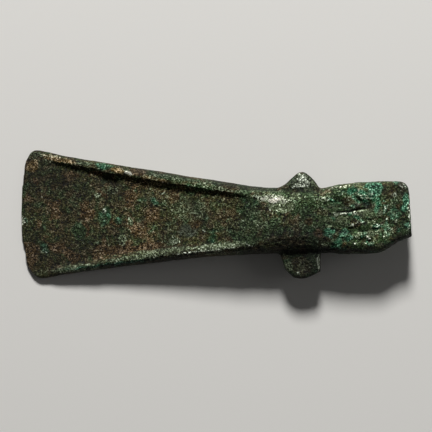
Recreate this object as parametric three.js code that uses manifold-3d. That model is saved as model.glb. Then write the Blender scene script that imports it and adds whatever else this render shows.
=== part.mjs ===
// A cast bronze trunnion axe head, lying flat: a flared blade with raised flanges along both of its
// long sides, a thick neck with a lug on each side, and a flat butt that the wooden haft gripped.
//
// It is drawn in the frame of the casting: S runs along the axe from the cutting edge to the butt, Y across
// it and Z through it, with Z = 0 in the plane where the two halves of the mould met. At the end it is laid
// down, so that the flanges of its back rest on the ground. Millimetres, +Z up, butt towards +X.
import * as THREE from "three";
import { LoftGeometry } from "three/addons/geometries/LoftGeometry.js";
import { mergeVertices } from "three/addons/utils/BufferGeometryUtils.js";
import Module from "manifold-3d";

// Driving dimensions
const LENGTH = 167.8; // cutting edge to the middle of the butt's end
const FLANGE_START = 9.5; // where the flanges rise from the blade
const FLANGE_RISEN = 13; // where their crests have reached the wedge
const NECK_START = 110; // where the blade's sides end
const WEDGE_END = 114; // where the wedge-shaped thickness ends, in the neck
const LUG_REAR = 129.3; // rear shoulder of the lugs, and front end of the butt
const EDGE_RADIUS = 95; // sweep of the cutting edge, seen from above
const EDGE_CENTRE_Y = 3;
const SWEEP_END = 45; // where the sections have become square to the axe
const BUTT_SKEW = 0.065; // how far the butt's end leans out of square, per mm of width
const LOFT_END = LENGTH + 1.5; // the loft runs past the butt's end, which is then cut off slantwise

// Thickness, all measured from the middle plane
const EDGE_HALF = 0.35; // the worn cutting edge
const WEDGE_START = 1.3; // the flange crests run on a straight wedge: WEDGE_START + WEDGE_SLOPE * s
const WEDGE_SLOPE = 0.065;
const BELLY_HALF = 8.5; // between the lugs, just behind the thickest place
const BUTT_HALF = 4.4; // at the butt's end

// Flanges and bevels
const BEVEL = 2.0; // width of the far side bevel along the blade and the butt
const NECK_BEVEL = 5.4; // the same at the neck, where the casting is eight-sided
const NEAR_BEVEL = 2.75; // width of the near side bevel along the blade
const NEAR_NECK_BEVEL = 7.0;
const NEAR_BUTT_BEVEL = 3.6;
const CREST = 1.4; // flat top of a flange
const FAR_CREST = 2.3; // the same along most of the front's far flange
const FOLDED_CREST = 2.4; // and at the end of its fold, where it was hammered inwards
const WALL_SLOPE = 0.9; // width of a flange's inner slope over its depth
const LEAST_WALL = 0.7; // its least width, where the flanges run out
const BACK_RECESS = 0.85; // the back is sunk a little less than the front

// Outline of each side, as half-width over S
const farSide = new THREE.Path()
  .moveTo(0, 24.4)
  .quadraticCurveTo(0.2, 28.9, 3.2, 28.9) // rounded corner of the cutting edge
  .quadraticCurveTo(6.5, 28.8, 14.5, 26.8) // its flare
  .lineTo(98, 13.5)
  .quadraticCurveTo(104, 12.6, NECK_START, 12.6)
  .lineTo(131, 12.4)
  .quadraticCurveTo(137, 14.4, 150, 15.0) // shoulder of the butt
  .quadraticCurveTo(157, 15.5, 162, 15.3)
  .quadraticCurveTo(166.2, 15.2, 166.8, 12.6)
  .lineTo(LOFT_END, 12.4);
const nearSide = new THREE.Path()
  .moveTo(0, 21.4)
  .quadraticCurveTo(0.9, 26.7, 4.6, 26.7)
  .quadraticCurveTo(7.5, 26.5, 14, 25.2)
  .quadraticCurveTo(50, 20.8, 80, 17.3)
  .quadraticCurveTo(95, 16.2, NECK_START, 15.9)
  .lineTo(133, 15.6)
  .quadraticCurveTo(145, 16.1, 154.5, 15.7)
  .quadraticCurveTo(158.5, 13.9, 161.5, 11.2) // the corner that has broken away
  .lineTo(166, 9.3)
  .lineTo(LOFT_END, 8.2);

// Half-thickness at the crests, depth of the sunk face below them, and width of the side bevel, over S
const wedge = (s) => WEDGE_START + WEDGE_SLOPE * s;
const crestHeight = new THREE.Path()
  .moveTo(0, EDGE_HALF)
  .lineTo(1, 0.55)
  .quadraticCurveTo(5, 1.1, FLANGE_START, 1.2) // the whetted edge
  .lineTo(FLANGE_RISEN, wedge(FLANGE_RISEN))
  .lineTo(WEDGE_END, wedge(WEDGE_END))
  .quadraticCurveTo(119, wedge(119), 124, BELLY_HALF)
  .quadraticCurveTo(128, 8.05, 132, 7.6)
  .lineTo(LOFT_END, BUTT_HALF);
const recessDepth = new THREE.Path()
  .moveTo(0, 0)
  .lineTo(FLANGE_START, 0)
  .lineTo(FLANGE_RISEN, 0.95)
  .quadraticCurveTo(15, 1.15, 20, 1.4)
  .lineTo(37, 2.1)
  .lineTo(72, 2.3)
  .lineTo(86, 1.9)
  .quadraticCurveTo(94, 1.5, 98, 0.7)
  .quadraticCurveTo(101, 0, 106, 0)
  .lineTo(LOFT_END, 0);
const farCrest = new THREE.Path()
  .moveTo(0, CREST)
  .lineTo(28, CREST)
  .lineTo(34, 1.75)
  .lineTo(41.5, FOLDED_CREST)
  .lineTo(43.5, 1.95)
  .lineTo(54, FAR_CREST)
  .lineTo(84, FAR_CREST)
  .lineTo(98, 1.5)
  .lineTo(LOFT_END, CREST);
const farBevel = new THREE.Path()
  .moveTo(0, 1.4)
  .lineTo(10, BEVEL)
  .lineTo(84, BEVEL)
  .quadraticCurveTo(98, 2.6, 113, NECK_BEVEL)
  .lineTo(124, NECK_BEVEL)
  .quadraticCurveTo(131, NECK_BEVEL, 138, BEVEL)
  .lineTo(LOFT_END, BEVEL);
const nearBevel = new THREE.Path()
  .moveTo(0, 1.4)
  .lineTo(30, 1.6)
  .lineTo(41, NEAR_BEVEL)
  .lineTo(88, NEAR_BEVEL)
  .quadraticCurveTo(99, 3.2, 113, NEAR_NECK_BEVEL)
  .lineTo(124, NEAR_NECK_BEVEL)
  .quadraticCurveTo(131, NEAR_NECK_BEVEL, 140, NEAR_BUTT_BEVEL)
  .lineTo(150, NEAR_BUTT_BEVEL)
  .lineTo(160, BEVEL)
  .lineTo(LOFT_END, BEVEL);

// A side bevel is slightly rounded: share of its width from the outline, and share of the crest's height
const BEVEL_PROFILE = [
  [0, 0],
  [0.15, 0.5],
  [0.5, 0.82],
  [1, 1],
];
// A flange's inner slope: share of its width, and share of the face's depth
const WALL_PROFILE = [
  [0, 0],
  [0.35, 0.55],
  [1, 1],
];
const FACE_POINTS = 3; // points across the blade's face, between the feet of its flanges

// Places of the sections: close together where the form turns quickly
const STATION_RUNS = [
  [0, 4.6, 6],
  [4.6, FLANGE_START, 4],
  [FLANGE_START, 20, 6],
  [20, 41.5, 7],
  [41.5, 43.5, 1],
  [43.5, 84, 11],
  [84, WEDGE_END, 15],
  [WEDGE_END, 140, 14],
  [140, 162, 6],
  [162, LOFT_END, 6],
];

// Height of a path over s, on its own points joined by straight lines.
function heightAt(path, s) {
  const points = path.getPoints(10);
  const after = points.findIndex((p) => p.x >= s);
  if (after <= 0) return points[0].y;
  const [a, b] = [points[after - 1], points[after]];
  return a.y + ((b.y - a.y) * (s - a.x)) / (b.x - a.x);
}

// The cutting edge is an arc, which the sections straighten out of: how far (s, y) is moved along S.
function sweep(s, y) {
  const arc = EDGE_RADIUS - Math.sqrt(EDGE_RADIUS ** 2 - (y - EDGE_CENTRE_Y) ** 2);
  return arc * (1 - THREE.MathUtils.smoothstep(s, 0, SWEEP_END));
}

// One side of a section's upper half, from the outline in to the foot of the flange, as [y, z].
function sideProfile(halfWidth, bevel, crestWidth, depth, s) {
  const crest = heightAt(crestHeight, s);
  const wallTop = halfWidth - bevel - crestWidth;
  const wall = Math.max(LEAST_WALL, WALL_SLOPE * depth);
  return [
    ...BEVEL_PROFILE.map(([across, up]) => [halfWidth - across * bevel, up * crest]),
    ...WALL_PROFILE.map(([across, down]) => [wallTop - across * wall, crest - down * depth]),
  ];
}

// A face of the section at s, from the far outline to the near one, as [y, z] with z upwards.
function faceProfile(s, farCrestWidth, depthShare) {
  const depth = heightAt(recessDepth, s) * depthShare;
  const far = sideProfile(heightAt(farSide, s), heightAt(farBevel, s), farCrestWidth, depth, s);
  const near = sideProfile(heightAt(nearSide, s), heightAt(nearBevel, s), CREST, depth, s)
    .map(([y, z]) => [-y, z]);
  const [from, to] = [far.at(-1), near.at(-1)];
  const between = Array.from({ length: FACE_POINTS }, (_, i) => {
    const share = (i + 1) / (FACE_POINTS + 1);
    return [from[0] + (to[0] - from[0]) * share, from[1] + (to[1] - from[1]) * share];
  });
  return [...far, ...between, ...near.reverse()];
}

function section(s) {
  const front = faceProfile(s, heightAt(farCrest, s), 1);
  const back = faceProfile(s, CREST, BACK_RECESS)
    .slice(1, -1) // the two faces share the points of the outline
    .map(([y, z]) => [y, -z])
    .reverse();
  return [...front, ...back].map(([y, z]) => new THREE.Vector3(s + sweep(s, y), y, z));
}

function bodyGeometry() {
  const stations = STATION_RUNS.flatMap(([from, to, steps]) =>
    Array.from({ length: steps }, (_, i) => from + ((to - from) * i) / steps),
  );
  return new LoftGeometry([...stations, LOFT_END].map(section), { capStart: true, capEnd: true });
}

// The lugs: plates in the middle plane that thin towards their tips
const LUG_ROOT_HALF = 5.0;
const LUG_BEVEL = 1.5;
const LUG_TAPER = 0.16; // half-thickness lost per mm beyond the side of the neck
const LUG_TAPER_FROM = 12;

// The far lug is worn down to a blunt point.
const farLug = new THREE.Shape()
  .moveTo(109, 5)
  .lineTo(109, 12.1)
  .quadraticCurveTo(112, 12.5, 114.4, 14.2)
  .lineTo(118.2, 17.6)
  .quadraticCurveTo(120.9, 20.4, 123.6, 18.4)
  .quadraticCurveTo(126.8, 16.0, LUG_REAR - 0.2, 11.9)
  .lineTo(127, 5)
  .closePath();
// The near lug keeps its square rear shoulder.
const nearLug = new THREE.Shape()
  .moveTo(LUG_REAR, -8)
  .lineTo(LUG_REAR, -17.6) // the shoulder's flat face is free of the butt from here on
  .lineTo(LUG_REAR, -23.4)
  .lineTo(125.6, -25.3)
  .quadraticCurveTo(120.5, -27.6, 117, -25.4)
  .lineTo(114.2, -22.6)
  .lineTo(112.2, -16.8)
  .lineTo(112.2, -8)
  .closePath();

function lugGeometry(shape) {
  const geometry = new THREE.ExtrudeGeometry(shape, {
    depth: 2 * (LUG_ROOT_HALF - LUG_BEVEL),
    bevelThickness: LUG_BEVEL,
    bevelSize: LUG_BEVEL,
    bevelOffset: -LUG_BEVEL,
    bevelSegments: 3,
    curveSegments: 8,
  }).translate(0, 0, LUG_BEVEL - LUG_ROOT_HALF);
  const position = geometry.getAttribute("position");
  for (let i = 0; i < position.count; i++) {
    const beyond = Math.max(0, Math.abs(position.getY(i)) - LUG_TAPER_FROM);
    position.setZ(i, position.getZ(i) * (1 - (LUG_TAPER * beyond) / LUG_ROOT_HALF));
  }
  return geometry;
}

// Troughs that run along the butt's faces: centre [s, y], length, width, depth and turn in degrees
const TROUGH_SIDES = 48;
const FRONT_TROUGHS = [
  { s: 142.2, y: 5.2, length: 23, width: 7.2, depth: 0.95, turn: 4 },
  { s: 146.0, y: -5.6, length: 22, width: 3.2, depth: 0.6, turn: -1 },
  { s: 143.0, y: -10.0, length: 19, width: 3.0, depth: 0.5, turn: -2 },
];
const BACK_TROUGHS = [
  { s: 146, y: -2, length: 26, width: 7, depth: 0.8, turn: -2 },
];
const TROUGH_RISE = 3.0; // how far above the face an ellipsoid's centre is
const buttTaper = Math.atan((heightAt(crestHeight, 140) - BUTT_HALF) / (LOFT_END - 140));

function troughGeometry({ s, y, length, width, depth, turn }) {
  const reach = depth + TROUGH_RISE; // the ellipsoid's half-height
  const chord = Math.sqrt(1 - (TROUGH_RISE / reach) ** 2); // its share of the half-width at the face
  return new THREE.SphereGeometry(1, TROUGH_SIDES, TROUGH_SIDES / 2)
    .rotateX(Math.PI / 2)
    .scale(length / 2 / chord, width / 2 / chord, reach)
    .rotateZ(THREE.MathUtils.degToRad(turn))
    .translate(0, 0, TROUGH_RISE)
    .rotateY(buttTaper)
    .translate(s, y, heightAt(crestHeight, s));
}

const wasm = await Module();
wasm.setup();

function solid(geometry) {
  const bare = new THREE.BufferGeometry()
    .setAttribute("position", geometry.getAttribute("position"))
    .setIndex(geometry.index);
  const merged = mergeVertices(bare);
  return new wasm.Manifold(
    new wasm.Mesh({
      numProp: 3,
      vertProperties: merged.getAttribute("position").array,
      triVerts: Uint32Array.from(merged.index.array),
    }),
  );
}

function geometryOf(manifold) {
  const mesh = manifold.getMesh();
  return new THREE.BufferGeometry()
    .setAttribute("position", new THREE.BufferAttribute(mesh.vertProperties, 3))
    .setIndex(new THREE.BufferAttribute(mesh.triVerts, 1));
}

const casting = [farLug, nearLug].reduce(
  (made, shape) => made.add(solid(lugGeometry(shape))),
  solid(bodyGeometry()),
);
const halfTurn = (geometry) => geometry.rotateX(Math.PI); // to the back, with y mirrored
const troughs = [
  ...FRONT_TROUGHS.map(troughGeometry),
  ...BACK_TROUGHS.map(troughGeometry).map(halfTurn),
];
const finished = troughs
  .reduce((made, trough) => made.subtract(solid(trough)), casting)
  .trimByPlane([-1, -BUTT_SKEW, 0], -LENGTH / Math.hypot(1, BUTT_SKEW));

// Laid down on the flange crests of its back: the wedge's slope becomes level, at Z = 0.
const restTilt = Math.atan(WEDGE_SLOPE);
const laidDown = geometryOf(finished)
  .rotateY(-restTilt)
  .translate(0, 0, WEDGE_START * Math.cos(restTilt));
laidDown.computeBoundingBox();
const middle = laidDown.boundingBox.getCenter(new THREE.Vector3());
laidDown.translate(-middle.x, -middle.y, 0);
laidDown.computeVertexNormals();

const bronze = new THREE.MeshStandardMaterial({ color: 0x4b4a34, roughness: 0.68, metalness: 0.35 });
const axeHead = new THREE.Mesh(laidDown, bronze);
axeHead.name = "axe_head";

const part = new THREE.Group();
part.add(axeHead);
export default part;
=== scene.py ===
"""A cast bronze trunnion axe head, as it lies flat on a pale floor.

The casting is worked on in its own frame, in millimetres: s runs from the cutting edge to the butt, y across
the axe and z through it, with z = 0 in the plane where the two halves of the mould met. Its solid form comes
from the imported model. What is made here is the surface: hammer marks, pits, crusts, cracks and nicks as mesh,
and the patina as a finish that follows them.
"""

import logging
import math
from collections.abc import Callable
from dataclasses import dataclass, field
from enum import Enum

import bmesh
import bpy
import numpy as np
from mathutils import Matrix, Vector, noise


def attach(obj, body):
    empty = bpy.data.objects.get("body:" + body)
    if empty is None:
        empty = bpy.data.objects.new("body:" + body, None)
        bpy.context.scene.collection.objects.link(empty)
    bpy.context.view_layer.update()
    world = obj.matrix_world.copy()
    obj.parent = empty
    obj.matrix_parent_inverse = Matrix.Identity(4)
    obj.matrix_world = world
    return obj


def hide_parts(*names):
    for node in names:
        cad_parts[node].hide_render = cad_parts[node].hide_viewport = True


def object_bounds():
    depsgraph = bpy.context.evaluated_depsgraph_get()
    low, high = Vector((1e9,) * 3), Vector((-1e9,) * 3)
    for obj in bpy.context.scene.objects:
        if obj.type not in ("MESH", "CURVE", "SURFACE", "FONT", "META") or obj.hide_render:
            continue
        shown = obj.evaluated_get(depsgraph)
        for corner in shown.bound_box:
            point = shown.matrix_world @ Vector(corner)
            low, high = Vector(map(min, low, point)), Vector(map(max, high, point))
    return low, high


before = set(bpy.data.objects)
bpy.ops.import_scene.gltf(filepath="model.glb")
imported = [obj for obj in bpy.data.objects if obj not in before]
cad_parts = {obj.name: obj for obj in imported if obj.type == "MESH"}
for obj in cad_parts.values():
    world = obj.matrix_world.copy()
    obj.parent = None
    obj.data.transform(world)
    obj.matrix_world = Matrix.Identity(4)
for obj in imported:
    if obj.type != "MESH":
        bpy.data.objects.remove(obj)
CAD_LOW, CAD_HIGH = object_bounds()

logger = logging.getLogger("axe_head")

MM = 0.001

Colour = tuple[float, float, float]
Socket = bpy.types.NodeSocket
Value = Socket | Colour | float
Profile = tuple[tuple[float, float], ...]


def smooth_step(values: np.ndarray, start: float, end: float) -> np.ndarray:
    """Goes smoothly from 0 where values reach the start to 1 at the end, which may be the lower one."""
    share = np.clip((values - start) / (end - start), 0.0, 1.0)
    return share * share * (3.0 - 2.0 * share)


def band(values: np.ndarray, low: float, full_from: float, full_to: float, high: float) -> np.ndarray:
    """1 between the two middle limits, falling smoothly to 0 at the outer ones."""
    return smooth_step(values, low, full_from) * smooth_step(values, high, full_to)


def at(profile: Profile, places: np.ndarray) -> np.ndarray:
    """Reads a profile, given as pairs of a place and a value, at some places."""
    return np.interp(places, *zip(*profile))


def tint(red: int, green: int, blue: int) -> Colour:
    """Turns a display colour, 0 to 255, into the linear values that shaders take."""
    shares = (red / 255, green / 255, blue / 255)
    return tuple(share / 12.92 if share <= 0.04045 else ((share + 0.055) / 1.055) ** 2.4 for share in shares)


class Cover(Enum):
    """What the bronze wears, its height and its shade, each an attribute of the mesh from 0 to 1."""

    GREEN = "green"
    TEAL = "teal"
    RUST = "rust"
    TAN = "tan"
    PALE = "pale"
    # rubbed metal, partly a painted glint on highlights
    POLISH_AND_GLINT = "polish_and_glint"
    # dirt in the pits and cracks, and a painted shadow under the far flange's fold
    DIRT_AND_SHADE = "dirt_and_shade"
    GREY = "grey"
    WEAR = "wear"
    HEIGHT = "height"
    LIGHT = "light"


@dataclass(frozen=True)
class Surface:
    """The points of the casting's surface, in its own frame, in mm.

    Attributes:
        s, y, z: Place of each point along, across and through the axe.
    """

    s: np.ndarray
    y: np.ndarray
    z: np.ndarray

    def points(self) -> np.ndarray:
        """One row of s, y and z for each point."""
        return np.stack([self.s, self.y, self.z], axis=1)

    def front(self) -> np.ndarray:
        """1 on the front, 0 on the back, with a narrow change along the side."""
        return smooth_step(self.z, -0.4, 0.4)

    def shifted(self, along: np.ndarray, across: np.ndarray) -> "Surface":
        """The same points moved in plan."""
        return Surface(self.s + along, self.y + across, self.z)


@dataclass(frozen=True)
class CastingFrame:
    """Where the casting's frame lies in the object's: it lies on the wedge of its back.

    Attributes:
        slope: Rise of the flange crests over the axe's length, in mm per mm.
        wedge_start: Half-thickness from which they rise, in mm.
        edge_half: Half-thickness of the cutting edge, in mm.
        far_reach: Half-width of the casting at its widest, on the far side, in mm.
    """

    slope: float = 0.065
    wedge_start: float = 1.3
    edge_half: float = 0.35
    far_reach: float = 28.9

    def _turn(self) -> tuple[float, float]:
        """Cosine and sine of the angle it is tilted by."""
        tilt = math.atan(self.slope)
        return math.cos(tilt), math.sin(tilt)

    def _middle(self) -> tuple[float, float]:
        """Where the object's origin lies along and across the casting, in mm."""
        _, sine = self._turn()
        return -CAD_LOW.x / MM - self.edge_half * sine, self.far_reach - CAD_HIGH.y / MM

    def to_casting(self, places: np.ndarray) -> Surface:
        """Gives the casting's own coordinates of places on the object.

        Args:
            places: Rows of x, y and z in the object's frame, in metres.

        Returns:
            The same places in the casting's frame, in mm.
        """
        cosine, sine = self._turn()
        middle_x, middle_y = self._middle()
        x, y, z = (places / MM).T
        along, up = x + middle_x, z - self.wedge_start * cosine
        return Surface(along * cosine + up * sine, y + middle_y, up * cosine - along * sine)

    def to_object(self, surface: Surface) -> np.ndarray:
        """Gives the object's coordinates, in metres, of points of the casting.

        Args:
            surface: Points in the casting's frame.

        Returns:
            Rows of x, y and z in metres.
        """
        cosine, sine = self._turn()
        middle_x, middle_y = self._middle()
        x = surface.s * cosine - surface.z * sine - middle_x
        z = surface.s * sine + surface.z * cosine + self.wedge_start * cosine
        return np.stack([x, surface.y - middle_y, z], axis=1) * MM


@dataclass(frozen=True)
class Outline:
    """Half-widths of the casting over s, in mm, of which only the main corners are kept."""

    far: Profile = (
        (0, 24.4), (3.2, 28.9), (14.5, 26.8), (98, 13.5), (110, 12.6), (131, 12.4), (150, 15.0), (166, 14.6),
    )
    near: Profile = (
        (0, 21.4), (4.6, 26.7), (14, 25.2), (50, 20.9), (80, 17.3), (110, 15.9), (133, 15.6), (154.5, 15.7),
        (161.5, 11.2), (167, 9.0),
    )

    def inset(self, surface: Surface) -> np.ndarray:
        """Distance of each point from the nearer long side, in mm, negative beyond it as on the lugs."""
        far, near = at(self.far, surface.s), at(self.near, surface.s)
        return np.where(surface.y > 0, far - surface.y, near + surface.y)


# ---------- random fields


SEED_STEP = (17.31, -9.17, 5.73)  # from the region of one seed to the next, in features
BOWL_RADIUS = 0.5  # in cells


@dataclass(frozen=True)
class Grain:
    """A seeded random field over the casting.

    Attributes:
        seed: Number that sets this field apart from the others.
        size: Size of its features along s, y and z, in mm.
        octaves: How many finer fields are laid over the first.
    """

    seed: int
    size: tuple[float, float, float]
    octaves: int = 1

    @classmethod
    def even(cls, seed: int, size: float, octaves: int = 1) -> "Grain":
        """A field with features of one size all ways."""
        return cls(seed, (size, size, size), octaves)

    def _places(self, surface: Surface) -> list[Vector]:
        """The points in units of the features' size, moved to this field's own region."""
        own = np.array(SEED_STEP) * self.seed
        return [Vector(row) for row in (surface.points() / np.array(self.size) + own).tolist()]

    def over(self, surface: Surface) -> np.ndarray:
        """Values from about -1 to 1."""
        octaves = self.octaves
        return np.array([noise.fractal(place, 1.0, 2.0, octaves) for place in self._places(surface)])

    def bowls(self, surface: Surface, share: float) -> np.ndarray:
        """Round hollows, one to a cell.

        Args:
            surface: Points of the casting.
            share: Part of the cells that have one.

        Returns:
            0 outside the bowls, rising to 1 at their bottoms.
        """
        depths = []
        for place in self._places(surface):
            distances, centres = noise.voronoi(place)
            lot = noise.noise(centres[0] * 7.3) * 0.9 + 0.5  # the cell's own, from about 0 to 1
            depths.append(max(0.0, 1.0 - distances[0] / BOWL_RADIUS) if lot < share else 0.0)
        return np.sqrt(np.array(depths))


# ---------- marks


MARK_CORE, MARK_END = 0.55, 1.35  # where a mark starts to fade and is gone, in half-widths


@dataclass(frozen=True)
class Mark:
    """An uneven oval spot on the front: a lump or a dent, a stain, or both.

    Attributes:
        s, y: Place of its middle, in mm.
        length, width: Its size, in mm.
        wears: How strongly it wears each cover, from 0 to 1.
        turn: Angle from the axe's length to the spot's, in degrees.
        height: How far it stands proud, in mm, or is sunk if negative.
    """

    s: float
    y: float
    length: float
    width: float
    wears: dict[Cover, float]
    turn: float = 0.0
    height: float = 0.0

    def over(self, surface: Surface) -> np.ndarray:
        """Works out where the mark lies.

        Args:
            surface: Points of the casting.

        Returns:
            1 in its middle, falling to 0 a little beyond its edge.
        """
        angle = math.radians(self.turn)
        ds, dy = surface.s - self.s, surface.y - self.y
        along = ds * math.cos(angle) + dy * math.sin(angle)
        across = dy * math.cos(angle) - ds * math.sin(angle)
        reach = np.hypot(along / (self.length / 2), across / (self.width / 2))
        return 1.0 - smooth_step(reach, MARK_CORE, MARK_END)


@dataclass(frozen=True)
class Groove:
    """A groove along a broken line on the front, with a lip along its near side.

    Attributes:
        line: Its points, as places along and across the axe, in mm.
        width: Its width, in mm.
        depth: Its depth, in mm.
        dirt_and_shade: How much dirt and painted shade darken it, from 0 to 1.
        lip: Height of the lip, in mm.
        lip_width: Width of the lip, in mm.
        shine: How pale its lip is painted, a painted highlight where it faces the light, from 0 to 1.
        fade: Length over which it runs out at each end, in mm.
    """

    line: Profile
    width: float
    depth: float
    dirt_and_shade: float
    lip: float = 0.15
    lip_width: float = 1.2
    shine: float = 0.2
    fade: float = 2.5

    def over(self, surface: Surface) -> np.ndarray:
        """Works out where the groove lies.

        Args:
            surface: Points of the casting.

        Returns:
            Two rows of shares, from 0 to 1: of the groove's depth and of its lip's height.
        """
        across = surface.y - at(self.line, surface.s)
        ends = np.minimum(surface.s - self.line[0][0], self.line[-1][0] - surface.s)
        present = smooth_step(ends, 0.0, self.fade)
        cut = 1.0 - smooth_step(np.abs(across), self.width * 0.15, self.width * 0.65)
        lip_middle = -(self.width + self.lip_width) / 2
        lip = 1.0 - smooth_step(np.abs(across - lip_middle), 0.0, self.lip_width * 0.75)
        return np.stack([cut, lip]) * present


@dataclass(frozen=True)
class Bite:
    """A nick in the outline: what lies within a circle in plan is pressed out of it.

    Attributes:
        s, y: Place of the circle's middle, in mm.
        radius: The circle's radius, in mm.
        kept: How much of its distance from the middle a point keeps on its way out, from 0 to 1.
    """

    s: float
    y: float
    radius: float
    kept: float = 0.2

    def press(self, surface: Surface) -> Surface:
        """Presses the nick into the surface.

        Args:
            surface: Points of the casting.

        Returns:
            The points with those in the circle moved outwards.
        """
        ds, dy = surface.s - self.s, surface.y - self.y
        distance = np.maximum(np.hypot(ds, dy), 1e-6)
        pushed = self.radius * (1 - self.kept) + distance * self.kept
        growth = np.where(distance < self.radius, pushed, distance) / distance - 1.0
        return surface.shifted(ds * growth, dy * growth)


GREEN, TEAL, RUST, TAN = Cover.GREEN, Cover.TEAL, Cover.RUST, Cover.TAN
PALE, POLISH_AND_GLINT, DIRT_AND_SHADE, GREY, WEAR = Cover.PALE, Cover.POLISH_AND_GLINT, Cover.DIRT_AND_SHADE, Cover.GREY, Cover.WEAR

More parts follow.
